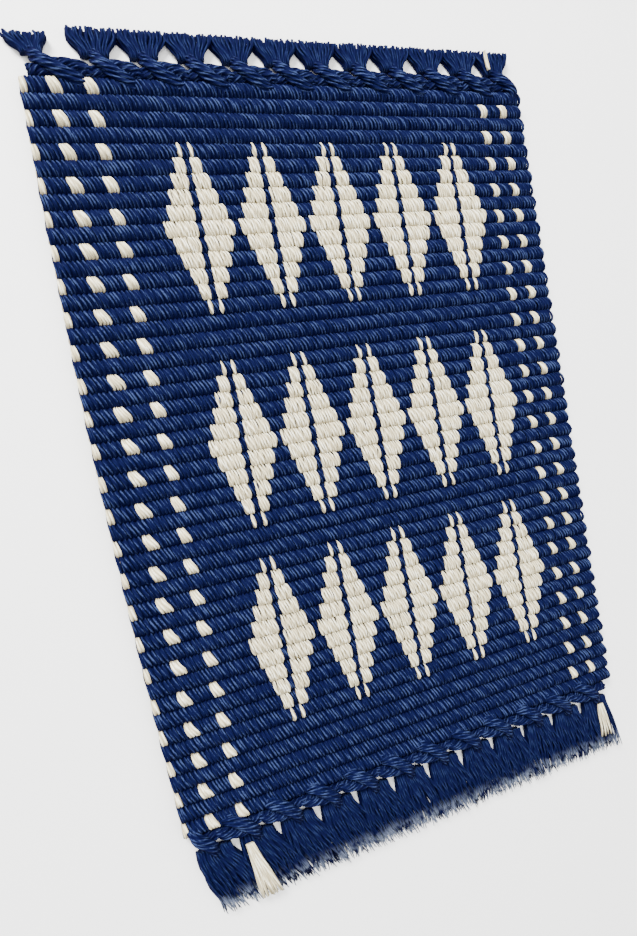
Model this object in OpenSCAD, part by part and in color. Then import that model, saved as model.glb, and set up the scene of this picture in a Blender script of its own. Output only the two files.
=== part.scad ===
// Hand-woven table mat in warp-faced rib weave, with inlaid diamonds, dotted borders,
// a knotted edge and a fringe of tassels at each end.
// X runs along the weft, Y along the warp, and the mat lies flat with its underside at z = 0.
// The origin is the centre of its footprint on the table.

/* [Ribs] */
// Number of picks of the weft cord, one for each rib
rib_count = 47; // [43:1:63]
// Distance from one rib to the next along the warp
rib_pitch = 4.0; // [3.8:0.1:5.2]
// Diameter of the weft cord
weft_d = 2.2; // [1.6:0.1:2.4]
// Thickness of the warp yarn that covers the weft on each face
warp_t = 0.9; // [0.7:0.05:1.4]

/* [Width] */
// Width of the woven cloth between the outer sides of the weft's turns
woven_w = 142; // [138:1:200]
// Diameter of the weft cord where it is squeezed round the selvedge
turn_d = 1.2; // [0.8:0.1:1.6]
// Width of one dotted warp stripe, half of it cream and half navy
stripe_w = 3.0; // [2:0.2:3.6]
// Width of the dotted stripe at the very edge on the left
edge_stripe_w = 1.4; // [1:0.1:2]
// Distance of the left middle stripe from the left selvedge
left_middle_in = 7.8; // [5.6:0.1:9]
// Distance of the left inner stripe from the left selvedge
left_inner_in = 15.8; // [13:0.1:18]
// Distance of the right inner stripe from the right selvedge
right_inner_in = 14.6; // [13:0.1:17]
// Distance of the right outer stripe from the right selvedge
right_outer_in = 7.4; // [5.6:0.1:9]

/* [Diamonds] */
// Diamonds in a row
diamond_cols = 5; // [3:1:5]
// Distance between neighbouring diamonds
diamond_pitch = 19.4; // [19.2:0.1:24]
// Offset of the rows from the middle of the cloth
diamond_shift = 3.2; // [-4:0.1:4]
// Steps from a diamond's tip to its widest rib, that rib included
diamond_steps = 6; // [3:1:6]
// Width that each step adds to a half
step_w = 1.38; // [0.9:0.01:1.42]
// Width of the navy tie-down stripe between the two halves
tie_w = 1.4; // [1:0.1:1.8]
// Height of the inlaid yarn above the ribs
inlay_t = 0.55; // [0.3:0.05:1]

/* [Ends] */
// Bundles of warp knotted off at each end
bundle_count = 12; // [12:1:12]
// Depth of the knotted edge along the warp
knot_depth = 4.6; // [4.2:0.1:6]
// Radius of a knotted bundle
knot_r = 1.4; // [1.2:0.05:1.6]
// Length of the top fringe from its knots to the cut
top_fringe = 8.0; // [6:0.5:14]
// Length of the bottom fringe from its knots to the cut
bottom_fringe = 18.0; // [12:0.5:26]
// Thickness of a tassel
tassel_t = 3.0; // [2.2:0.1:3.4]
// Share of a bundle's pitch that a tassel's neck is wide
neck_share = 0.56; // [0.4:0.02:0.7]
// Angle of the leftmost bottom tassel towards the right
lean_left = 22; // [0:1:24]
// Angle of the rightmost bottom tassel towards the right
lean_right = 6; // [0:1:8]

/* [Gaps] */
// Gap between pieces that lie against each other
fit_gap = 0.04; // [0.02:0.01:0.1]
// Gap between a tassel and the knot that it turns on
turn_gap = 0.3; // [0.2:0.05:0.5]
// Gap between neighbouring tassels at their widest
side_gap = 0.6; // [0.4:0.1:1]

/* [Hidden] */
$fn = 48;
weft_r = weft_d / 2;
cloth_l = rib_count * rib_pitch;
cloth_t = weft_d + 2 * warp_t;
z_mid = cloth_t / 2;
turn_r = turn_d / 2;
warp_w = woven_w - 2 * (turn_d + fit_gap);
warp_edge = warp_w / 2;

// The footprint is centred on Y, so the cloth sits off centre by half the fringes' difference
top_reach = knot_depth + top_fringe;
bottom_reach = knot_depth + bottom_fringe;
cloth_y = (bottom_reach - top_reach) / 2;

cloth_top = cloth_y + cloth_l / 2;
cloth_bottom = cloth_y - cloth_l / 2;

// Middle of a rib, counted from 1 at the top end
function rib_y(i) = cloth_top - rib_pitch * (i - 0.5);

// Outline of a rib: a flat-topped arch that meets its neighbours in a valley
arch_reach_share = 0.575;
arch_flat_share = 0.15;
arch_shoulder = 40;
arch_y = rib_pitch * arch_reach_share;
arch_flat = rib_pitch * arch_flat_share;
valley_z = z_mid * sqrt(1 - pow(rib_pitch / 2 / arch_y, 2));
function arch(side) = [
    [-arch_y * cos(arch_shoulder), side * z_mid * sin(arch_shoulder)],
    [-arch_flat, side * z_mid],
    [arch_flat, side * z_mid],
    [arch_y * cos(arch_shoulder), side * z_mid * sin(arch_shoulder)]
];

// Path of a warp yarn against the weft cord inside a rib
bed_r = weft_r + 2 * fit_gap;
bed_slope = 38;
crossing = rib_pitch / 2;
crossing_half = 0.3;
function bed(side) = [
    [-bed_r, side * bed_r * sin(bed_slope)],
    [-bed_r * tan(bed_slope / 2), side * bed_r],
    [bed_r * tan(bed_slope / 2), side * bed_r],
    [bed_r, side * bed_r * sin(bed_slope)]
];

function placed(points, y) = [for (p = points) [y + p[0], z_mid + p[1]]];
function from_bottom(n) = [for (k = [0:n - 1]) n - k];

// Both faces of the cloth, going up the +Y side
function face(side) = [
    for (i = from_bottom(rib_count))
        each concat(
            placed(arch(side), rib_y(i)),
            i > 1 ? [[rib_y(i) + rib_pitch / 2, z_mid + side * valley_z]] : []
        )
];
function reversed(points) = [for (k = [len(points) - 1:-1:0]) points[k]];

// One side of a yarn that passes over the ribs of one parity and under the rest
function over(i, parity) = (i % 2) == parity;
function yarn_side(parity, upper) = [
    for (i = from_bottom(rib_count))
        let (side = over(i, parity) ? 1 : -1, outer = (side > 0) == upper)
        each concat(
            [[rib_y(i) - crossing + (upper ? -1 : 1) * side * crossing_half, z_mid]],
            placed(outer ? arch(side) : bed(side), rib_y(i)),
            i == 1 ? [[rib_y(i) + crossing + (upper ? 1 : -1) * side * crossing_half, z_mid]] : []
        )
];

// Stretches an outline drawn in Y and Z from x0 to x1
module along_x(x0, x1) {
    translate([x0, 0, 0])
        rotate([90, 0, 90])
            linear_extrude(x1 - x0)
                children();
}

// A twelve-sided bar between two points at one height
bar_sides = 12;
module bar(a, b, r) {
    d = b - a;
    translate(a)
        rotate([0, 90, atan2(d[1], d[0])])
            rotate(180 / bar_sides)
                cylinder(h = norm(d), r = r, $fn = bar_sides);
}

/* Weft */
turn_x = warp_edge + fit_gap + turn_r;

module weft_cord() {
    color("#1b2d66") {
        for (i = [1:rib_count])
            translate([-turn_x, rib_y(i), z_mid])
                rotate([0, 90, 0])
                    cylinder(h = 2 * turn_x, r = weft_r);
        for (i = [1:rib_count - 1])
            translate([(i % 2 == 1) ? turn_x : -turn_x, rib_y(i), z_mid])
                rotate([90, 0, 0])
                    cylinder(h = rib_pitch, r = turn_r);
    }
}

/* Warp */
// Middle of each dotted stripe, and the parity of the ribs that its cream yarn crosses over
stripe_x = [
    -warp_edge + edge_stripe_w / 2,
    -woven_w / 2 + left_middle_in,
    -woven_w / 2 + left_inner_in,
    woven_w / 2 - right_inner_in,
    woven_w / 2 - right_outer_in
];
stripe_parity = [1, 1, 1, 0, 0];
stripe_widths = [edge_stripe_w, stripe_w, stripe_w, stripe_w, stripe_w];
function stripe_left(k) = stripe_x[k] - stripe_widths[k] / 2;
function stripe_right(k) = stripe_x[k] + stripe_widths[k] / 2;

// A band of navy warp between two stripes, with a tunnel for each pick
module warp_band(x0, x1) {
    color("#1b2d66")
        along_x(x0, x1)
            difference() {
                polygon(concat(face(1), reversed(face(-1))));
                for (i = [1:rib_count])
                    translate([rib_y(i), z_mid]) circle(weft_r + fit_gap);
            }
}

function band_start(k) = stripe_right(k) + fit_gap;
function band_end(k) = stripe_left(k) - fit_gap;

module navy_band_left_outer() { warp_band(band_start(0), band_end(1)); }
module navy_band_left_inner() { warp_band(band_start(1), band_end(2)); }
module navy_field() { warp_band(band_start(2), band_end(3)); }
module navy_band_right_inner() { warp_band(band_start(3), band_end(4)); }
module navy_band_right_selvedge() { warp_band(band_start(4), warp_edge); }

// A flat ribbon of warp that waves over and under the picks
module yarn_ribbon(x0, x1, parity) {
    along_x(x0, x1)
        polygon(concat(yarn_side(parity, true), reversed(yarn_side(parity, false))));
}

module cream_warp(k) {
    color("#d9d2bd")
        yarn_ribbon(stripe_left(k), stripe_x[k] - fit_gap / 2, stripe_parity[k]);
}

module cream_warp_left_outer() { cream_warp(0); }
module cream_warp_left_middle() { cream_warp(1); }
module cream_warp_left_inner() { cream_warp(2); }
module cream_warp_right_inner() { cream_warp(3); }
module cream_warp_right_outer() { cream_warp(4); }

// The navy yarns of the dotted stripes, which cross the other way from the cream ones
module navy_stripe_warps() {
    color("#1b2d66")
        for (k = [0:4])
            yarn_ribbon(stripe_x[k] + fit_gap / 2, stripe_right(k), 1 - stripe_parity[k]);
}

/* Diamonds */
row_length = 2 * diamond_steps - 1;
row_first_rib = [5, 19, 32];
diamond_row_names = ["top", "middle", "bottom"];

// The strip of inlaid yarn that arches over one rib
function inlay_strip(y) = let (
    skin = concat([[-rib_pitch / 2, valley_z]], arch(1), [[rib_pitch / 2, valley_z]]),
    raised = [for (p = reversed(skin)) [p[0], p[1] + inlay_t]]
) [for (p = concat(skin, raised)) [y + p[0], z_mid + p[1] + fit_gap]];

module diamond(row, col) {
    x = diamond_shift + (col - (diamond_cols - 1) / 2) * diamond_pitch;
    color("#e3dcc8")
        for (n = [1:row_length]) {
            width = step_w * min(n, row_length + 1 - n);
            y = rib_y(row_first_rib[row] + n - 1);
            along_x(x + tie_w / 2, x + tie_w / 2 + width) polygon(inlay_strip(y));
            along_x(x - tie_w / 2 - width, x - tie_w / 2) polygon(inlay_strip(y));
        }
}

/* Knotted edges */
bundle_pitch = warp_w / bundle_count;
function bundle_x(n) = -warp_edge + bundle_pitch * (n - 0.5);

// The bundles run along the edge as one ridge, and each then slants over its neighbour
ridge_y = knot_depth / 2;
over_thin = 0.9;
over_rise = 1.9;
over_offset = 0.14;
right_share = 0.36;
left_share = 0.28;
over_r = knot_r * over_thin;
over_low = knot_depth * (0.5 - over_offset);
over_high = knot_depth * (0.5 + over_offset);
over_z = knot_r * over_rise;
over_right = bundle_pitch * right_share;
over_left = bundle_pitch * left_share;
module edge_knots(end) {
    y0 = end > 0 ? cloth_top : cloth_bottom;
    color("#22377a") {
        bar([-warp_edge, y0 + end * ridge_y, knot_r], [warp_edge, y0 + end * ridge_y, knot_r],
            knot_r);
        for (n = [1:bundle_count])
            bar([bundle_x(n) + over_right, y0 + end * over_low, over_z],
                [bundle_x(n) - over_left, y0 + end * over_high, over_z],
                over_r);
    }
}

module top_edge_knots() { edge_knots(1); }
module bottom_edge_knots() { edge_knots(-1); }

/* Tassels */
root_r = tassel_t / 2;
neck_w = bundle_pitch * neck_share;
pivot_in = turn_gap + root_r;
// Shares of a tassel's reach and of its lean at the point where its neck starts to widen
neck_length = 0.12;
neck_lean = 0.1;

// A flat fan on a round root, which turns about X at the knots. It is drawn pointing along +Y.
module tassel(reach, end_w, shift) {
    rotate([0, 90, 0])
        translate([-root_r, 0, -neck_w / 2])
            cylinder(h = neck_w, r = root_r);
    linear_extrude(tassel_t)
        polygon([
            [-neck_w / 2, 0], [neck_w / 2, 0],
            [neck_w / 2 + shift * neck_lean, reach * neck_length],
            [end_w / 2 + shift, reach], [-end_w / 2 + shift, reach],
            [-neck_w / 2 + shift * neck_lean, reach * neck_length]
        ]);
}

// The first tassel at the top is narrower and is brushed towards the left
first_shift = -3.4;
module top_tassel(n) {
    color("#1b2d66")
        translate([bundle_x(n), cloth_top + knot_depth + pivot_in, 0])
            tassel(top_fringe - pivot_in,
                n == 1 ? neck_w : bundle_pitch - side_gap,
                n == 1 ? first_shift : 0);
}

function lean(n) = lean_left + (lean_right - lean_left) * (n - 1) / (bundle_count - 1);
lean_loss = (bottom_fringe - pivot_in) * (tan(lean(1)) - tan(lean(2)));
bottom_end_w = bundle_pitch - side_gap - lean_loss;
module bottom_tassel(n) {
    reach = bottom_fringe - pivot_in;
    // The last tassel is kept within the selvedge
    shift = n == bundle_count ? min(reach * tan(lean(n)), (woven_w - warp_w) / 2) : reach * tan(lean(n));
    color("#17244f")
        translate([bundle_x(n), cloth_bottom - knot_depth - pivot_in, 0])
            mirror([0, 1, 0])
                tassel(reach, bottom_end_w, shift);
}

weft_cord();
navy_band_left_outer();
navy_band_left_inner();
navy_field();
navy_band_right_inner();
navy_band_right_selvedge();
navy_stripe_warps();
cream_warp_left_outer();
cream_warp_left_middle();
cream_warp_left_inner();
cream_warp_right_inner();
cream_warp_right_outer();
for (row = [0:2])
    for (col = [0:diamond_cols - 1])
        diamond(row, col);
top_edge_knots();
bottom_edge_knots();
for (n = [1:bundle_count]) {
    top_tassel(n);
    bottom_tassel(n);
}
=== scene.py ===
# %% [markdown]
# # A hand-woven table mat
# The mat is cotton, woven so that the warp covers the weft completely: each thick weft pick is
# hidden in a rib of fine navy yarns. Cream yarns make dotted stripes near the selvedges and
# fifteen diamonds in the middle, and both ends are knotted and cut to a fringe. The lesson
# builds it yarn by yarn, because at this distance a bump map alone would look printed on.

# %% Load the frame
import math

import bmesh
import bpy
import numpy as np
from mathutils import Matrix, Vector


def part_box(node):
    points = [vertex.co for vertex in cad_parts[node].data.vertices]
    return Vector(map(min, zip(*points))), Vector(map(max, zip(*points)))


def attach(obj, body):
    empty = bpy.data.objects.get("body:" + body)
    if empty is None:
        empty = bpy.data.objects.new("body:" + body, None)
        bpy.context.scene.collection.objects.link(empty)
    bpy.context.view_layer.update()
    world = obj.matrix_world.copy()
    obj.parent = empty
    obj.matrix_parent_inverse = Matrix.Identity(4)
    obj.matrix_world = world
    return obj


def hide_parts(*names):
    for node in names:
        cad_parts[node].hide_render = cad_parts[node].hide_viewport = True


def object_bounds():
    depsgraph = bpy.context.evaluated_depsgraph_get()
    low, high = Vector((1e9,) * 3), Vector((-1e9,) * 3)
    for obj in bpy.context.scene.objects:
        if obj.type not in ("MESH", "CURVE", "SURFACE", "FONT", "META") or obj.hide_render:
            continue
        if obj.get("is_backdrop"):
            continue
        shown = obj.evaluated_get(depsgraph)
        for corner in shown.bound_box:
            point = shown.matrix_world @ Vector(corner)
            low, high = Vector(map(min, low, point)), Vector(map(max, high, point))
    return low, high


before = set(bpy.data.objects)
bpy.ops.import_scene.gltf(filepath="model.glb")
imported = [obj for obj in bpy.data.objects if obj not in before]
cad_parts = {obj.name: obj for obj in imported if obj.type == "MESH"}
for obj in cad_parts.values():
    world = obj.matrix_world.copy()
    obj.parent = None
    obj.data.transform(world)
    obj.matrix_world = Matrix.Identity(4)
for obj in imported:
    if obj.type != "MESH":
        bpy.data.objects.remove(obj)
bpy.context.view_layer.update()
MM = 0.001

# %% [markdown]
# ## The measures of the cloth
# Everything sits on the ribs, so the first step reads them from the frame: the weft cord's box
# gives the first and the last pick, and the selvedge yarns give the width of the warp. The number
# of yarns is chosen so that yarns a little under a millimetre apart fill that width.

# %% Read the ribs and the warp
RIBS = 47
YARNS = 144
weft_low, weft_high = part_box("weft_cord")
WEFT_R = (weft_high.z - weft_low.z) / 2
MIDDLE_Z = (weft_high.z + weft_low.z) / 2
FIRST_Y = weft_high.y - WEFT_R
PITCH = (weft_high.y - weft_low.y - 2 * WEFT_R) / (RIBS - 1)
CLOTH_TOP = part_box("navy_field")[1].z
WARP_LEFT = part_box("cream_warp_left_outer")[0].x
WARP_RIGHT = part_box("navy_band_right_selvedge")[1].x
YARN_PITCH = (WARP_RIGHT - WARP_LEFT) / YARNS
EDGE_TOP = FIRST_Y + PITCH / 2
EDGE_BOTTOM = FIRST_Y - PITCH * (RIBS - 0.5)


def rib_y(rib):
    """The middle of a rib, counted from 1 at the top end."""
    return FIRST_Y - PITCH * (rib - 1)


print("rib pitch", round(PITCH / MM, 2), "mm, yarn pitch", round(YARN_PITCH / MM, 3), "mm")

# %% [markdown]
# ## Draw-in
# A hand weaver's cloth is never a true rectangle. As the work goes on the weft pulls the
# selvedges in, so this mat is a little wider at its top end than at the bottom, and its left
# selvedge swells a little in the middle. Every piece passes through one function that moves it
# sideways by its place along the warp.

# %% Draw-in of the cloth
DRAW_IN = 0.045
SWELL = 1.8 * MM
SWELL_FROM = WARP_LEFT + 9 * MM


def draw_in(path):
    """Widens a path near the top end, narrows it near the bottom and swells the left selvedge."""
    place = (path[:, 1] - (EDGE_TOP + EDGE_BOTTOM) / 2) / (EDGE_TOP - EDGE_BOTTOM)
    place = np.clip(place, -0.5, 0.5)
    near_edge = np.clip((SWELL_FROM - path[:, 0]) / (SWELL_FROM - WARP_LEFT), 0, 1)
    drawn = path.copy()
    drawn[:, 0] *= 1 + DRAW_IN * place
    drawn[:, 0] -= SWELL * near_edge * np.cos(math.pi * place)
    return drawn


print("the ends differ by", round(DRAW_IN * (WARP_RIGHT - WARP_LEFT) / MM, 1), "mm in width")

# %% [markdown]
# ## The camera
# The mat is seen from close by, from above its left side, so the left selvedge looms large and
# the lines converge. The lens is a little wide and the sideways shift is next to nothing.

# %% Place the camera
CAMERA_PLACE = (-0.0773, -0.0031, 0.1650)
CAMERA_TILT = (1.742, -20.537, -11.331)
lens = bpy.data.cameras.new("camera")
lens.lens = 24.57
lens.shift_x = -0.0016
lens.shift_y = 0.0202
lens.clip_start = 0.005
camera = bpy.data.objects.new("camera", lens)
camera.location = CAMERA_PLACE
camera.rotation_euler = [math.radians(angle) for angle in CAMERA_TILT]
bpy.context.collection.objects.link(camera)
bpy.context.scene.camera = camera
print("camera at", tuple(camera.location))

# %% [markdown]
# ## The table and the light
# A plain pale table takes the soft shadow. One broad light from beyond the top left corner
# rakes over the ribs, so that each throws a small shadow on the next, and two weaker ones fill.

# %% Lay the table
TABLE_HALF = 2.0
floor_mesh = bpy.data.meshes.new("floor")
maker = bmesh.new()
bmesh.ops.create_grid(maker, x_segments=1, y_segments=1, size=TABLE_HALF)
maker.to_mesh(floor_mesh)
maker.free()
floor = bpy.data.objects.new("floor", floor_mesh)
bpy.context.collection.objects.link(floor)
floor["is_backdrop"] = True
print("the table is", 2 * TABLE_HALF, "m across")


# %% Hang the lights
def area_light(name, place, size, power):
    """A soft square light that faces the middle of the mat."""
    lamp = bpy.data.lights.new(name, "AREA")
    lamp.size = size
    lamp.energy = power
    holder = bpy.data.objects.new(name, lamp)
    holder.location = place
    holder.rotation_euler = (-holder.location).to_track_quat("-Z", "Y").to_euler()
    bpy.context.collection.objects.link(holder)


area_light("key", (-0.35, 0.55, 0.50), 0.30, 24.0)
area_light("fill", (0.7, -0.3, 0.7), 0.8, 6.0)
area_light("overhead", (-0.1, -0.1, 1.0), 1.0, 11.0)
sky = bpy.data.worlds.new("sky")
sky.use_nodes = True
sky.node_tree.nodes["Background"].inputs["Color"].default_value = (1.0, 1.0, 1.0, 1.0)
sky.node_tree.nodes["Background"].inputs["Strength"].default_value = 1.15
bpy.context.scene.world = sky
print("three lights and a pale sky")

# %% [markdown]
# ## Writing materials as sums
# A finish is a node tree, and its maths reads best as Python. A Wire wraps one output socket,
# so that `1 - wire` adds a Math node, and Finish.node makes any other node.


# %% Wires and finishes
class Wire:
    """One output socket of a finish, which can stand in a sum."""

    def __init__(self, finish, socket):
        self.finish = finish
        self.socket = socket

    def sum(self, operation, first, second=0.0):
        """Adds one Math node."""
        return self.finish.node("ShaderNodeMath", {"operation": operation}, {0: first, 1: second})

    def __add__(self, other):
        return self.sum("ADD", self, other)

    def __radd__(self, other):
        return self.sum("ADD", other, self)

    def __sub__(self, other):
        return self.sum("SUBTRACT", self, other)

    def __rsub__(self, other):
        return self.sum("SUBTRACT", other, self)

    def __mul__(self, other):
        return self.sum("MULTIPLY", self, other)

    def __rmul__(self, other):
        return self.sum("MULTIPLY", other, self)

    def sine(self):
        return self.sum("SINE", self)


class Finish:
    """A material that is built up node by node."""

    def __init__(self, name, roughness, gloss=0.04):
        self.material = bpy.data.materials.new(name)
        self.material.use_nodes = True
        self.tree = self.material.node_tree
        self.surface = self.tree.nodes["Principled BSDF"]
        self.surface.inputs["Roughness"].default_value = roughness
        self.surface.inputs["Specular IOR Level"].default_value = gloss

    def node(self, kind, settings=None, inputs=None, output=0):
        """Makes a node: its settings first, then the values or links of its sockets."""
        made = self.tree.nodes.new(kind)
        for name, value in (settings or {}).items():
            setattr(made, name, value)
        for name, value in (inputs or {}).items():
            self.connect(value, made.inputs[name])
        return Wire(self, made.outputs[output])

    def connect(self, value, socket):
        """Links a wire to a socket, or sets a plain value on it."""
        if isinstance(value, Wire):
            self.tree.links.new(value.socket, socket)
        else:
            socket.default_value = value

    def mix(self, factor, first, second):
        """Blends two colours."""
        return self.node("ShaderNodeMix", {"data_type": "RGBA"}, {0: factor, 6: first, 7: second}, 2)

    def between(self, wire, low, high):
        """0 below low and 1 above high, smoothly."""
        return self.node(
            "ShaderNodeMapRange",
            {"interpolation_type": "SMOOTHSTEP"},
            {"Value": wire, "From Min": low, "From Max": high},
        )

    def noise(self, vector, scale, detail=2.0):
        """Soft random grain between 0 and 1."""
        return self.node(
            "ShaderNodeTexNoise", {}, {"Vector": vector, "Scale": scale, "Detail": detail}
        )

    def paint(self, colour, height, depth):
        """Feeds the surface's colour, and its bump from a height between 0 and 1."""
        self.connect(colour, self.surface.inputs["Base Color"])
        bump = self.node("ShaderNodeBump", {}, {"Height": height, "Distance": depth})
        self.connect(bump, self.surface.inputs["Normal"])
        return self.material


print("a wire can be added, subtracted, multiplied and fed to a sine")

# %% [markdown]
# ## Plied cotton
# The yarn is two strands twisted together, so light catches it in short slanting strokes, and
# these strokes are painted into its colour as highlights. Each tube carries a map that runs along
# it in millimetres and once around it. The twist is a sine of both, and a fine noise stretched
# along the yarn gives its fibres. Yarn that is pressed down between two ribs, and the grooves
# between the plies, lie in shade, so painted shade darkens the colour low down and in the grooves.


# %% The twist of the plies
def twist_of(finish, lay, plies):
    """The plies of a yarn, 0 in the groove between two and 1 on the back of one."""
    place = finish.node("ShaderNodeUVMap", {"uv_map": "UVMap"})
    along = finish.node("ShaderNodeSeparateXYZ", {}, {0: place}, 0)
    around = finish.node("ShaderNodeSeparateXYZ", {}, {0: place}, 1)
    wave = (around * (2 * math.pi * plies) + along * (2 * math.pi * plies / lay)).sine()
    return along, around, wave * 0.5 + 0.5


print("the plies make a wave of the map's two directions")

# %% Plied cotton finish
COTTON_ROUGHNESS = 0.82
FIBRES_ALONG = 1.6
FIBRES_AROUND = 9.0
TONE_SCALE = 380.0
GROOVE_SOFTNESS = 0.4


def plied_cotton(name, painted_shade, plain, painted_highlight, lay=16.0, plies=2, low=1.9, high=3.9, relief=0.22,
                 groove_low=0.05, tips=None):
    """A yarn finish, with painted shade below the height low and plain above high, both in
    millimetres.
    It also paints shade into the grooves between the plies and highlights onto their backs.

    tips is where the yarn ends turn pale, from one distance to another towards the bottom end, and
    their colour.
    """
    finish = Finish(name, COTTON_ROUGHNESS)
    along, around, strand = twist_of(finish, lay, plies)
    place = finish.node("ShaderNodeTexCoord", {}, {}, "Object")
    fibre_place = finish.node(
        "ShaderNodeCombineXYZ", {}, {0: along * FIBRES_ALONG + strand, 1: around * FIBRES_AROUND}
    )
    fibre = finish.noise(fibre_place, 1.0, 3.0)
    tone = finish.noise(place, TONE_SCALE, 1.0)
    height = finish.node("ShaderNodeSeparateXYZ", {}, {0: place}, 2)
    # Painted shade: crown is a height mask that darkens the colour towards the shade colour low down
    # between the ribs, and groove darkens it between the plies.
    crown = finish.between(height, low * MM, high * MM)
    groove = finish.between(strand * 0.7 + fibre * 0.3, groove_low, groove_low + GROOVE_SOFTNESS)
    lit = crown * (groove * 0.8 + 0.2)
    body = finish.mix(lit, painted_shade, plain)
    # Painted highlight: gleam lightens the backs of the plies towards the highlight colour, most on
    # the crowns.
    gleam = finish.between(strand * fibre * (tone * 1.4 + 0.3), 0.30, 0.62) * (crown * 0.85 + 0.15)
    colour = finish.mix(gleam, body, painted_highlight)
    if tips:
        start, end, pale = tips
        up_the_mat = finish.node("ShaderNodeSeparateXYZ", {}, {0: place}, 1)
        worn = finish.between(0.0 - up_the_mat, start, end) * finish.between(tone, 0.35, 0.6)
        colour = finish.mix(worn, colour, pale)
    return finish.paint(colour, strand * 0.75 + fibre * 0.25, relief * MM)


# %% Navy and cream
# The deep colours are painted shade, the bright ones painted highlights and the plain ones the
# yarns' own colours. The dull navy is a fainter painted highlight for the fringe.
NAVY_PAINTED_SHADE = (0.0003, 0.0004, 0.0140, 1.0)
NAVY_PLAIN = (0.0026, 0.0042, 0.029, 1.0)
NAVY_PAINTED_HIGHLIGHT = (0.027, 0.042, 0.106, 1.0)
NAVY_FAINT_PAINTED_HIGHLIGHT = (0.010, 0.018, 0.058, 1.0)
CREAM_PAINTED_SHADE = (0.29, 0.24, 0.15, 1.0)
CREAM_PLAIN = (0.66, 0.59, 0.39, 1.0)
CREAM_PAINTED_HIGHLIGHT = (0.96, 0.92, 0.75, 1.0)
navy_cotton = plied_cotton("navy plied cotton", NAVY_PAINTED_SHADE, NAVY_PLAIN, NAVY_PAINTED_HIGHLIGHT)
cream_cotton = plied_cotton("cream plied cotton", CREAM_PAINTED_SHADE, CREAM_PLAIN, CREAM_PAINTED_HIGHLIGHT)
print("made", navy_cotton.name, "and", cream_cotton.name)

# %% [markdown]
# ## Yarns as tubes
# A yarn could be a modifier on a line, but a curve with a round bevel gives the tube, its map
# and its caps in one step. Every yarn of a piece is one spline with its own thickness at each
# point. The tube is turned into a mesh, its caps are welded on, and its map is stretched to
# millimetres so that the twist has the same lay on long and short yarns. The mesh lists all the
# caps before the sides of the tubes, so the sides are counted back from the end of the list.


# %% Tubes from paths
SIDES = 6
MAP_SCATTER = 50
WELD = 0.0001 * MM
chance = np.random.default_rng(11)


def length_of(path):
    """The length of a path in metres."""
    return float(np.linalg.norm(np.diff(path, axis=0), axis=1).sum())


def tubes(name, paths, radii, finish, body, nodes):
    """One piece made of round yarns: paths in metres, and each path's radius at its points."""
    curve = bpy.data.curves.new(name, "CURVE")
    curve.dimensions = "3D"
    curve.bevel_depth = 1.0
    curve.bevel_resolution = 1
    curve.use_fill_caps = True
    for path, radius in zip(map(draw_in, paths), radii):
        spline = curve.splines.new("POLY")
        spline.points.add(len(path) - 1)
        spline.points.foreach_set("co", np.column_stack([path, np.ones(len(path))]).ravel())
        spline.points.foreach_set("radius", np.broadcast_to(radius, len(path)).astype(np.float32))
    holder = bpy.data.objects.new(name + "_curve", curve)
    bpy.context.collection.objects.link(holder)
    shape = holder.evaluated_get(bpy.context.evaluated_depsgraph_get())
    mesh = bpy.data.meshes.new_from_object(shape)
    bpy.data.objects.remove(holder)
    bpy.data.curves.remove(curve)
    stretch_map(mesh, paths)
    weld = bmesh.new()
    weld.from_mesh(mesh)
    bmesh.ops.remove_doubles(weld, verts=weld.verts, dist=WELD)
    weld.to_mesh(mesh)
    weld.free()
    mesh.shade_smooth()
    mesh.name = name
    return piece(name, mesh, finish, body, nodes)


def stretch_map(mesh, paths):
    """Makes the map run along each yarn in millimetres, from a place of its own."""
    layer = mesh.uv_layers[0].data
    values = np.empty(len(layer) * 2, dtype=np.float32)
    layer.foreach_get("uv", values)
    values = values.reshape(-1, 2)
    corners = [(len(path) - 1) * SIDES * 4 for path in paths]
    starts = len(values) - sum(corners) + np.concatenate([[0], np.cumsum(corners)[:-1]])
    for path, start, count in zip(paths, starts, corners):
        values[start:start + count, 0] *= length_of(path) / MM
        values[start:start + count] += chance.uniform(0, MAP_SCATTER, 2).astype(np.float32)
    layer.foreach_set("uv", values.ravel())


def piece(name, mesh, finish, body, nodes):
    """Puts a finished mesh in the scene and ties it to the frame."""
    mesh.materials.clear()
    mesh.materials.append(finish)
    made = bpy.data.objects.new(name, mesh)
    bpy.context.collection.objects.link(made)
    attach(made, body)
    if nodes:
        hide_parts(*nodes)
    return made


print("a yarn tube has", SIDES, "sides")

# %% [markdown]
# ## The warp
# A warp yarn goes over one rib and under the next. Half of the yarns, the first shed, lie over
# the odd ribs and the other half over the even ones, and they cross in the valleys. The twist
# of the yarn makes it lean on each rib, from upper left to lower right, and lean back below.
# Five points make a rounded crown and three are enough on the back, which lies on the table.

# %% Path of a warp yarn
CREST = 0.14
OVER_STEPS = (-0.5, -0.34, -CREST, CREST, 0.34)
UNDER_STEPS = (-0.5, -0.2, 0.2)
ARCH_POWER = 0.7
WANDER = 0.06 * MM
HEIGHT_WANDER = 0.04
YARN_R = 0.435 * MM
CROWN = CLOTH_TOP - MIDDLE_Z - YARN_R
LEAN = 0.50 * MM


def shed_steps(shed):
    """For each point of a yarn: its rib, its place on it from -0.5 to 0.5, and over or under."""
    rows = []
    for rib in range(1, RIBS + 1):
        side = 1 if rib % 2 == shed else -1
        for step in OVER_STEPS if side > 0 else UNDER_STEPS:
            rows.append((rib, step, side))
    rows.append((RIBS, 0.5, side))
    return np.array(rows)


STEPS = {shed: shed_steps(shed) for shed in (0, 1)}


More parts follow.
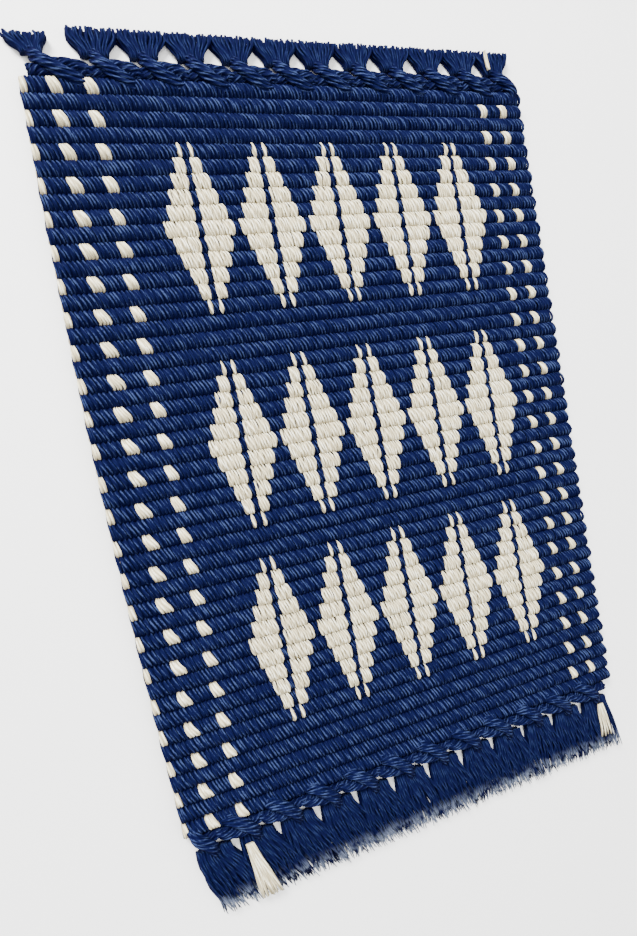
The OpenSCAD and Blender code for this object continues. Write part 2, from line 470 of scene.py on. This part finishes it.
def warp_path(x, shed, crown=CROWN, lean=LEAN):
    """The path of one yarn along the whole cloth, with a weaver's small unevenness."""
    rib, step, side = STEPS[shed].T
    number = rib.astype(int) - 1
    wander = chance.normal(0, WANDER, RIBS)[number]
    rise = 1 + chance.normal(0, HEIGHT_WANDER, RIBS)[number]
    arch = (np.cos(math.pi * step).clip(0) / math.cos(math.pi * CREST)) ** ARCH_POWER
    return np.column_stack([
        x + side * lean * np.sin(math.pi * step) + wander,
        FIRST_Y - PITCH * (number + step),
        MIDDLE_Z + side * crown * rise * arch,
    ])


print("a yarn has", len(STEPS[1]), "points")

# %% [markdown]
# ## Where each colour lies
# The dotted stripes are threaded in cream on one shed only. The left three are on the shed that
# lies over the odd ribs and the right two on the other, so their dots are staggered. Cream yarn
# is set closer than the navy. The stripe at the left selvedge bulges over the edge.

# %% Stripes of the warp
STRIPES = {
    "cream_warp_left_outer": (1, 2),
    "cream_warp_left_middle": (1, 4),
    "cream_warp_left_inner": (1, 4),
    "cream_warp_right_inner": (0, 3),
    "cream_warp_right_outer": (0, 3),
}
CREAM_PITCH = 0.66 * MM
CREAM_R = 0.43 * MM
EDGE_BULGE = 0.7 * MM
EDGE_CROWN = 0.78 * CROWN
EDGE_LEAN = 0.15 * MM
DOT_CROWN = CROWN + 0.15 * MM
DOT_LEAN = 0.66 * MM


def stripe_span(node):
    """The sides of a stripe. Its cream half is a CAD node and the navy half is as wide."""
    low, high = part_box(node)
    if node == "cream_warp_left_outer":
        return low.x - EDGE_BULGE, low.x + 2 * CREAM_PITCH - EDGE_BULGE
    middle = high.x
    half = STRIPES[node][1] * CREAM_PITCH / 2
    return middle - half, middle + half


def spread_yarns(low, high, count):
    """Evenly spaced places for a number of yarns between two sides."""
    return low + (high - low) * (np.arange(count) + 0.5) / count


stripe_places = {node: stripe_span(node) for node in STRIPES}
print({node: [round(x / MM, 1) for x in span] for node, span in stripe_places.items()})

# %% [markdown]
# ## The dots
# A dot is drawn together where its yarns come up out of the valley and swells as it goes over
# the rib, so each place on the rib has its own share of the yarn's thickness. Below, where it
# isn't seen, the yarn is thin.

# %% Cream yarns of the stripes
BACK_GIRTH = 0.8
GATHER = 0.52
GATHER_END = 0.2
DOT_GIRTH = {-0.5: 0.55, -0.34: 0.85, -0.14: 1.08, 0.14: 1.12, 0.34: 1.0}


def dot_gather(path, shed, middle):
    """Draws a stripe's yarns together at the upper valley of each rib that they cross."""
    step, side = STEPS[shed][:, 1], STEPS[shed][:, 2]
    tight = np.where(side > 0, GATHER * np.clip(GATHER_END - step, 0, 1), 0.0)
    path[:, 0] -= (path[:, 0] - middle) * tight
    return path


for node, (shed, count) in STRIPES.items():
    low, high = stripe_places[node]
    at_edge = node == "cream_warp_left_outer"
    rise, lean = (EDGE_CROWN, EDGE_LEAN) if at_edge else (DOT_CROWN, DOT_LEAN)
    paths = [dot_gather(warp_path(x, shed, rise, lean), shed, (low + high) / 2)
             for x in spread_yarns(low, high, count)]
    over = STEPS[shed][:, 2] > 0
    over_girth = [DOT_GIRTH.get(round(step, 2), BACK_GIRTH) for step in STEPS[shed][:, 1]]
    girth = np.where(over, over_girth, BACK_GIRTH)
    radii = [CREAM_R * girth * (1 + chance.normal(0, 0.06, len(path))) for path in paths]
    tubes(node + "_yarn", paths, radii, cream_cotton, "cloth", [node])
print("cream yarns in", len(STRIPES), "stripes")

# %% [markdown]
# ## The navy ground
# The bands between the stripes have yarns in both sheds, half a yarn apart. The middle field is
# wide, so it is made as four pieces side by side. The navy yarns of the stripes are one piece.

# %% Navy yarns
THICK_AND_THIN = 0.05
FIELD_PIECES = 4


def navy_yarns(name, low, high, node):
    """Navy yarns of both sheds that fill a span, the sheds half a yarn apart."""
    count = max(1, round((high - low) / YARN_PITCH))
    quarter = (high - low) / count / 4
    paths = []
    for shed, shift in ((0, -quarter), (1, quarter)):
        paths += [warp_path(x + shift, shed) for x in spread_yarns(low, high, count)]
    radii = [YARN_R * (1 + chance.normal(0, THICK_AND_THIN, len(path))) for path in paths]
    return tubes(name, paths, radii, navy_cotton, "cloth", [node])


edges = [x for node in STRIPES for x in stripe_places[node]] + [WARP_RIGHT + EDGE_BULGE]
bands = ["navy_band_left_outer", "navy_band_left_inner", "navy_field",
         "navy_band_right_inner", "navy_band_right_selvedge"]
for number, node in enumerate(bands):
    low, high = edges[2 * number + 1], edges[2 * number + 2]
    parts = FIELD_PIECES if node == "navy_field" else 1
    cuts = np.linspace(low, high, parts + 1)
    for part in range(parts):
        name = node + "_yarn" + (f"_{part + 1}" if parts > 1 else "")
        navy_yarns(name, cuts[part], cuts[part + 1], node)

# %% Navy yarns of the stripes
stripe_paths = []
for node, (shed, count) in STRIPES.items():
    low, high = stripe_places[node]
    navy_count = max(2, round((high - low) / YARN_PITCH))
    rise, lean = (EDGE_CROWN, EDGE_LEAN) if node == "cream_warp_left_outer" else (CROWN, LEAN)
    places = spread_yarns(low, high, navy_count)
    stripe_paths += [warp_path(x, 1 - shed, rise, lean) for x in places]
stripe_radii = [YARN_R] * len(stripe_paths)
tubes("navy_stripe_yarn", stripe_paths, stripe_radii, navy_cotton,
                     "cloth", ["navy_stripe_warps"])
print("navy yarns cross", len(STRIPES), "stripes")

# %% [markdown]
# ## The weft and the heart of the cloth
# One thick cord makes every pick and turns at the selvedges, where it is squeezed thin. Around
# it the yarns that cross fill the cloth. That dense heart is a closed ribbed sheet just under
# the yarns, so that no light comes through. It stands for the cloth's cut size, and its mesh
# stops half a millimetre short of each side so that the selvedge yarns hide it.

# %% Weft cord
TURN_R = 0.6 * MM
PICK_R = WEFT_R * 0.95
turn_x = weft_high.x - 2.4 * TURN_R
full_x = turn_x - 1.5 * MM
weft_points = []
weft_radii = []
for rib in range(1, RIBS + 1):
    way = 1 if rib % 2 else -1
    for x in (-turn_x, -full_x, 0.0, full_x, turn_x):
        weft_points.append((x * way, rib_y(rib), MIDDLE_Z))
        weft_radii.append(TURN_R if abs(x) == turn_x else PICK_R)
weft_cotton = plied_cotton("thick navy cord", NAVY_PAINTED_SHADE, NAVY_PLAIN, NAVY_PAINTED_HIGHLIGHT, lay=9.0, plies=3)
tubes("weft_cord_yarn", [np.array(weft_points)], [np.array(weft_radii)], weft_cotton,
      "cloth", ["weft_cord"])
print("the weft is", round(length_of(np.array(weft_points)), 2), "m long")

# %% Heart of the cloth
HEART_STEPS = 6
HEART_SHORT = 1.0 * MM
HEART_VALLEY = 0.25 * MM
HEART_SWELL = 0.95 * MM
heart_mesh = bpy.data.meshes.new("cloth_heart")
heart = bmesh.new()
bmesh.ops.create_grid(heart, x_segments=1, y_segments=RIBS * HEART_STEPS, size=0.5)
for vert in heart.verts:
    place = (0.5 - vert.co.y) * RIBS
    swell = abs(math.sin(math.pi * place))
    vert.co.x *= (WARP_RIGHT - WARP_LEFT) - HEART_SHORT
    vert.co.y = EDGE_TOP - place * PITCH
    vert.co.z = MIDDLE_Z + HEART_VALLEY + HEART_SWELL * swell
back = bmesh.ops.extrude_face_region(heart, geom=heart.faces[:])
for vert in [v for v in back["geom"] if isinstance(v, bmesh.types.BMVert)]:
    vert.co.z = 2 * MIDDLE_Z - vert.co.z
for vert in heart.verts:
    vert.co.x = draw_in(np.array([vert.co]))[0, 0]
bmesh.ops.recalc_face_normals(heart, faces=heart.faces)
heart.to_mesh(heart_mesh)
heart.free()
heart_mesh.shade_smooth()
# Seen only through the gaps between yarns, the heart is painted partly in shade: random grain
# between plain navy and the painted-shade navy.
shade = Finish("packed navy cotton", 0.9)
spot = shade.node("ShaderNodeTexCoord", {}, {}, "Object")
grain = shade.noise(spot, 900.0)
packed_cotton = shade.paint(shade.mix(grain, NAVY_PAINTED_SHADE, NAVY_PLAIN), grain, 0.1 * MM)
cloth_heart = piece("cloth_heart", heart_mesh, packed_cotton, "cloth", [])
print("the cloth is cut to", [round(x / MM) for x in (WARP_RIGHT - WARP_LEFT, RIBS * PITCH)], "mm")

# %% [markdown]
# ## The diamonds
# Each diamond is cream yarn laid in by hand over the navy. On every rib a half is a row of short
# plump strands that lean like the ground. They start as a thin tail in the upper valley and end
# rounded in the lower one. The rows widen by one step a rib and narrow again, and a navy stripe
# is left down the middle where the ground ties them down.

# %% One strand over a rib
STRAND_STEPS = np.array((-0.52, -0.4, -0.22, 0.0, 0.22, 0.4, 0.5))
STRAND_GIRTH = np.array((0.55, 0.80, 0.96, 1.04, 1.08, 1.06, 0.92))
TIP_GIRTH = np.array((0.12, 0.50, 1.00, 1.35, 1.40, 1.05, 0.35))
STRAND_R = 0.41 * MM
STRAND_LEAN = 0.55 * MM
STRAND_BED = MIDDLE_Z + 0.95 * MM
STRAND_ARCH = 0.94
STRAND_FULLNESS = 0.6
STRAND_WANDER = 0.05 * MM
BLOCK_ROUNDING = 0.45 * MM


def inlay_strand(x, rib, top, middle, half):
    """A short strand that leans over one rib, and is drawn in at both valleys of its block."""
    lean = STRAND_LEAN * (1 + chance.normal(0, 0.25))
    arch = np.cos(math.pi * STRAND_STEPS * STRAND_ARCH).clip(0) ** STRAND_FULLNESS
    wander = chance.normal(0, WANDER) + chance.normal(0, STRAND_WANDER, len(STRAND_STEPS))
    drawn = BLOCK_ROUNDING * ((x - middle) / half) ** 3 * (2 * STRAND_STEPS) ** 2
    return np.column_stack([
        x + lean * STRAND_STEPS + wander - drawn,
        rib_y(rib) - PITCH * STRAND_STEPS,
        STRAND_BED + (top - STRAND_R - STRAND_BED) * arch * (1 + chance.normal(0, 0.08)),
    ])


print("a strand has", len(STRAND_STEPS), "points")

# %% Fifteen diamonds
ROW_FIRST_RIB = {"top": 5, "middle": 19, "bottom": 32}
DIAMOND_RIBS = 11
STRAND_PITCH = 0.76 * MM
TIE_W = 1.4 * MM
BLOCK_INSET = 0.05 * MM
cream_inlay = plied_cotton("plump cream cotton", CREAM_PAINTED_SHADE, CREAM_PLAIN, CREAM_PAINTED_HIGHLIGHT,
                           lay=6.5, low=2.0, high=4.2, relief=0.4, groove_low=0.12)


def diamond(row, column):
    """One diamond, whose size and place come from its CAD node."""
    node = f"diamond_{row}_{column}"
    low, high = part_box(node)
    middle = (low.x + high.x) / 2
    step = ((high.x - low.x) - TIE_W) / 2 / (DIAMOND_RIBS // 2 + 1)
    paths = []
    radii = []
    for number in range(DIAMOND_RIBS):
        width = step * min(number + 1, DIAMOND_RIBS - number)
        half = width / 2
        at_tip = number in (0, DIAMOND_RIBS - 1)
        count = 1 if at_tip else max(1, round(width / STRAND_PITCH))
        girth = TIP_GIRTH if at_tip else STRAND_GIRTH
        rib = ROW_FIRST_RIB[row] + number
        for start in (middle + TIE_W / 2, middle - TIE_W / 2 - width):
            places = spread_yarns(start + BLOCK_INSET, start + width - BLOCK_INSET, count)
            paths += [inlay_strand(x, rib, high.z, start + half, half) for x in places]
            radii += [STRAND_R * girth * (1 + chance.normal(0, 0.10, len(girth))) for _ in places]
    tubes(node + "_strands", paths, radii, cream_inlay, "cloth", [node])
    return len(paths)


strands = [diamond(row, column) for row in ROW_FIRST_RIB for column in range(1, 6)]
print(len(strands), "diamonds of about", strands[0], "strands each")

# %% [markdown]
# ## Knotted edges
# At each end the warp is gathered into twelve bundles, and each bundle is hitched round the next
# one. What shows is a slanting pass that runs up into the tassel's neck, a loop that bends down
# behind the next bundle, and a short level pass where the yarns leave the cloth. Each pass is a
# handful of yarns twisted together round a smooth path. The bottom end is the same hitch turned
# half a turn.


# %% A smooth path
def smooth_path(points, count):
    """A smooth curve through the points."""
    ends = np.vstack([2 * points[0] - points[1], points, 2 * points[-1] - points[-2]])
    places = np.linspace(0, len(points) - 1, count)
    first = np.minimum(places.astype(int), len(points) - 2)
    t = (places - first)[:, None]
    a, b, c, d = (ends[first + k] for k in range(4))
    return b + 0.5 * t * (c - a + t * (2 * a - 5 * b + 4 * c - d + t * (3 * (b - c) + d - a)))


print("a path is a smooth curve through a few points")

# %% Bundles of yarn
GOLDEN = math.pi * (3 - math.sqrt(5))
BUNDLE_STEPS = 16


def bundle(points, radius, count, turns):
    """Yarns that twist together along a path, packed in a round section."""
    centre = smooth_path(np.array(points), BUNDLE_STEPS)
    ahead = np.gradient(centre, axis=0)
    ahead /= np.linalg.norm(ahead, axis=1)[:, None]
    side = np.cross(ahead, (0.0, 0.0, 1.0))
    side /= np.linalg.norm(side, axis=1)[:, None]
    lift = np.cross(side, ahead)
    paths = []
    for number in range(count):
        out = radius * math.sqrt((number + 0.5) / count)
        angle = number * GOLDEN + 2 * math.pi * turns * np.linspace(0, 1, BUNDLE_STEPS)[:, None]
        paths.append(centre + out * (np.cos(angle) * side + np.sin(angle) * lift))
    return paths


print("the yarns of a bundle are packed like the seeds of a sunflower")

# %% The passes of one hitch
BUNDLES = 12
BUNDLE_YARNS = 16
BUNDLE_PITCH = (WARP_RIGHT - WARP_LEFT) / BUNDLES
SLANT_PASS = ((8.3, -1.7, 2.2), (6.0, -1.0, 3.5), (3.3, 0.7, 4.1), (1.0, 2.8, 3.6),
              (0.0, 4.7, 2.3), (0.0, 6.3, 1.5))
LOOP_PASS = ((0.4, 2.9, 2.4), (3.4, 3.2, 2.7), (6.4, 2.9, 2.8), (8.8, 2.0, 2.5), (9.9, 0.9, 2.0))
LEVEL_PASS = ((-6.0, 1.5, 1.8), (-2.0, 1.7, 2.0), (2.0, 1.5, 1.8), (6.0, 1.6, 1.9))
PASSES = ((SLANT_PASS, 1.40, 0.7), (LOOP_PASS, 1.10, 0.7), (LEVEL_PASS, 1.35, 0.9))
KNOT_YARN_R = 0.41 * MM
FIRST_ASIDE = 2.6 * MM
CORNER_IN = 1.6 * MM


def bundle_x(number):
    """The middle of a bundle, counted from 1 at the left."""
    return WARP_LEFT + BUNDLE_PITCH * (number - 0.5)


print("bundles are", round(BUNDLE_PITCH / MM, 2), "mm apart")


# %% Knot both ends
def edge_knots(end):
    """All the hitches of one end: end is 1 at the top and -1 at the bottom."""
    edge = EDGE_TOP if end > 0 else EDGE_BOTTOM
    paths = []
    for number in range(1, BUNDLES + 1):
        last = number == (BUNDLES if end > 0 else 1)
        for passing, radius, turns in PASSES:
            if last and passing is LOOP_PASS:
                continue
            points = [(bundle_x(number) + end * x * MM, edge + end * y * MM, z * MM)
                      for x, y, z in passing]
            if number == 1 and end > 0 and passing is SLANT_PASS:
                points = [(x - FIRST_ASIDE * max(0.0, k - 1) / 4, y, z)
                          for k, (x, y, z) in enumerate(points)]
            left, right = WARP_LEFT + CORNER_IN, WARP_RIGHT - CORNER_IN
            points = [(min(max(x, left), right), y, z) for x, y, z in points]
            paths += bundle(points, radius * MM, BUNDLE_YARNS, turns)
    return paths


navy_knots = plied_cotton("knotted navy cotton", NAVY_PAINTED_SHADE, NAVY_PLAIN, NAVY_PAINTED_HIGHLIGHT, lay=6.0,
                          low=1.2, high=4.8)
for name, end in (("top_edge_knots", 1), ("bottom_edge_knots", -1)):
    knot_paths = edge_knots(end)
    knot_radii = [KNOT_YARN_R] * len(knot_paths)
    tubes(name + "_yarn", knot_paths, knot_radii, navy_knots, "cloth", [name])
print("knots of", len(knot_paths), "yarn passes at each end")

# %% [markdown]
# ## The fringe
# Beyond the knots the yarns are free. Each tassel turns on its own hinge, so each is its own
# piece. At the top the yarns spread from a tight neck and were cut straight across. At the
# bottom they are longer, lie over to the right, and their ends have come untwisted.

# %% Fringe finishes
FRAYED = (0.22, 0.26, 0.35, 1.0)
FRAY_FROM = 0.1050
FRAY_TO = 0.1125
cut_cotton = plied_cotton("cut navy cotton", NAVY_PAINTED_SHADE, NAVY_PLAIN, NAVY_FAINT_PAINTED_HIGHLIGHT, lay=9.0, low=0.3,
                          high=3.2)
frayed_cotton = plied_cotton("frayed navy cotton", NAVY_PAINTED_SHADE, NAVY_PLAIN, NAVY_FAINT_PAINTED_HIGHLIGHT, lay=9.0,
                             low=0.1, high=3.2, tips=(FRAY_FROM, FRAY_TO, FRAYED))
print("the ends turn pale over", round((FRAY_TO - FRAY_FROM) / MM, 1), "mm")


# %% Strands of a tassel
TASSEL_STEPS = 8
TASSEL_GAP = 0.6 * MM
IN_TOP_KNOT = -0.14
IN_BOTTOM_KNOT = -0.10
ABOVE_TABLE = 0.4 * MM


def tassel_paths(node, count, neck, spread, opening, shift, ragged, wave, share=1.0, aside=0.0):
    """Strands that fan out from a tassel's root to its cut end, in layers.

    neck and spread are half widths at the two ends, opening is the share of the reach by which
    the fan is open, and share is how much of the CAD tassel's reach the strands take. The strands
    start a little inside the knot.
    """
    low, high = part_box(node)
    end = 1 if node.startswith("top") else -1
    root_r = (high.z - low.z) / 2
    root_x = bundle_x(int(node.split("_")[-1])) + aside
    root_y = (low.y if end > 0 else high.y) + end * root_r
    reach = abs((high.y if end > 0 else low.y) - root_y) * share
    t = np.linspace(IN_TOP_KNOT if end > 0 else IN_BOTTOM_KNOT, 1, TASSEL_STEPS)
    free = t.clip(0)
    paths = []
    for strand in range(count):
        across = 2 * (strand + 0.5) / count - 1 + chance.normal(0, 0.03)
        layer = (strand * 7 % 5 - 2) / 2
        long = reach * (1 - abs(chance.normal(0, ragged)))
        part = np.clip(t / opening, 0, 1)
        fan = part ** 2 * (3 - 2 * part) if end > 0 else 1 - (1 - part) ** 1.6
        swing = wave * np.sin(t * chance.uniform(2, 8) + chance.uniform(0, 6)) * free
        x = root_x + across * (neck * (1 - fan) + spread * fan) + shift * free
        z = low.z + root_r * (1 + layer * (0.45 + 0.2 * fan)) - 0.2 * MM * fan
        z = np.maximum(z + swing * 0.4, ABOVE_TABLE)
        paths.append(np.column_stack([x + swing, root_y + end * long * t, z]))
    return paths


def tip_shift(node, number):
    """How far a bottom tassel's cut end lies to the right, read from its box."""
    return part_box(node)[1].x - bundle_x(number) - (BUNDLE_PITCH - TASSEL_GAP) / 2


print("a strand has", TASSEL_STEPS, "points")

# %% Twelve tassels at each end
CUT_GIRTH = np.array((0.30, 0.33, 0.36, 0.38, 0.39, 0.40, 0.40, 0.36)) * MM
FRAYED_GIRTH = np.array((0.34, 0.38, 0.38, 0.36, 0.32, 0.27, 0.20, 0.09)) * MM
for number in range(1, BUNDLES + 1):
    node = f"top_tassel_{number}"
    if number == 1:
        paths = tassel_paths(
            node, count=64, neck=2.3 * MM, spread=0.40 * BUNDLE_PITCH, opening=0.9, shift=-1.0 * MM,
            ragged=0.10, wave=0.5 * MM, share=0.72, aside=-FIRST_ASIDE,
        )
    else:
        paths = tassel_paths(
            node, count=60, neck=3.2 * MM, spread=0.50 * BUNDLE_PITCH, opening=0.80, shift=0.0,
            ragged=0.04, wave=0.25 * MM,
        )
    radii = [CUT_GIRTH] * len(paths)
    tubes(node + "_strands", paths, radii, cut_cotton, node, [node])
    node = f"bottom_tassel_{number}"
    paths = tassel_paths(
        node, count=84, neck=4.3 * MM, spread=0.52 * BUNDLE_PITCH, opening=0.5,
        shift=tip_shift(node, number), ragged=0.08, wave=1.0 * MM,
    )
    radii = [FRAYED_GIRTH] * len(paths)
    tubes(node + "_strands", paths, radii, frayed_cotton, node, [node])
print("fringed", 2 * BUNDLES, "tassels")

# %% [markdown]
# ## Cream ends
# A few cream warp yarns of the dotted stripes come out in the fringe: two in the last tassel at
# the top right, four in the last at the bottom right, and a thick tuft in the second at the
# bottom left. Each tuft lies on top of its tassel.

# %% Cream ends in the fringe
CREAM_START = 1.5 * MM
TUFT_GIRTH = np.array((0.36, 0.42, 0.42, 0.42, 0.40, 0.36, 0.24)) * MM


def cream_end(name, node, offset, count, length, width, lean):
    """A tuft of cream yarn that lies on a tassel and rides with it."""
    low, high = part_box(node)
    end = 1 if node.startswith("top") else -1
    root_x = bundle_x(int(node.split("_")[-1])) + offset
    root_y = low.y + CREAM_START if end > 0 else high.y - CREAM_START
    t = np.linspace(0.02, 1, len(TUFT_GIRTH))
    paths = []
    for strand in range(count):
        across = (strand + 0.5) / count - 0.5
        x = root_x + across * width * (0.3 + 0.7 * t) + lean * t
        x += 0.4 * MM * np.sin(t * chance.uniform(2, 5) + chance.uniform(0, 6)) * t
        z = high.z + (0.1 + 0.3 * (strand % 2)) * MM - 0.5 * MM * t
        paths.append(np.column_stack([x, root_y + end * length * t, z]))
    tubes(name, paths, [TUFT_GIRTH] * count, cream_cotton, node, [])


cream_end("top_tassel_12_cream", "top_tassel_12", offset=-2.6 * MM, count=2, length=6.2 * MM,
          width=0.8 * MM, lean=-0.3 * MM)
cream_end("bottom_tassel_2_cream", "bottom_tassel_2", offset=-2.6 * MM, count=12,
          length=15.5 * MM, width=5.2 * MM, lean=3.6 * MM)
cream_end("bottom_tassel_12_cream", "bottom_tassel_12", offset=1.0 * MM, count=4,
          length=11.0 * MM, width=5.0 * MM, lean=1.0 * MM)
print("cream ends in three tassels")

# %% Table finish and the visual box
table_finish = Finish("pale table", 0.9, 0.2)
table_finish.surface.inputs["Base Color"].default_value = (0.93, 0.93, 0.925, 1.0)
floor_mesh.materials.append(table_finish.material)
low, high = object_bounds()
print("visual box", [round((b - a) / MM, 1) for a, b in zip(low, high)], "mm")
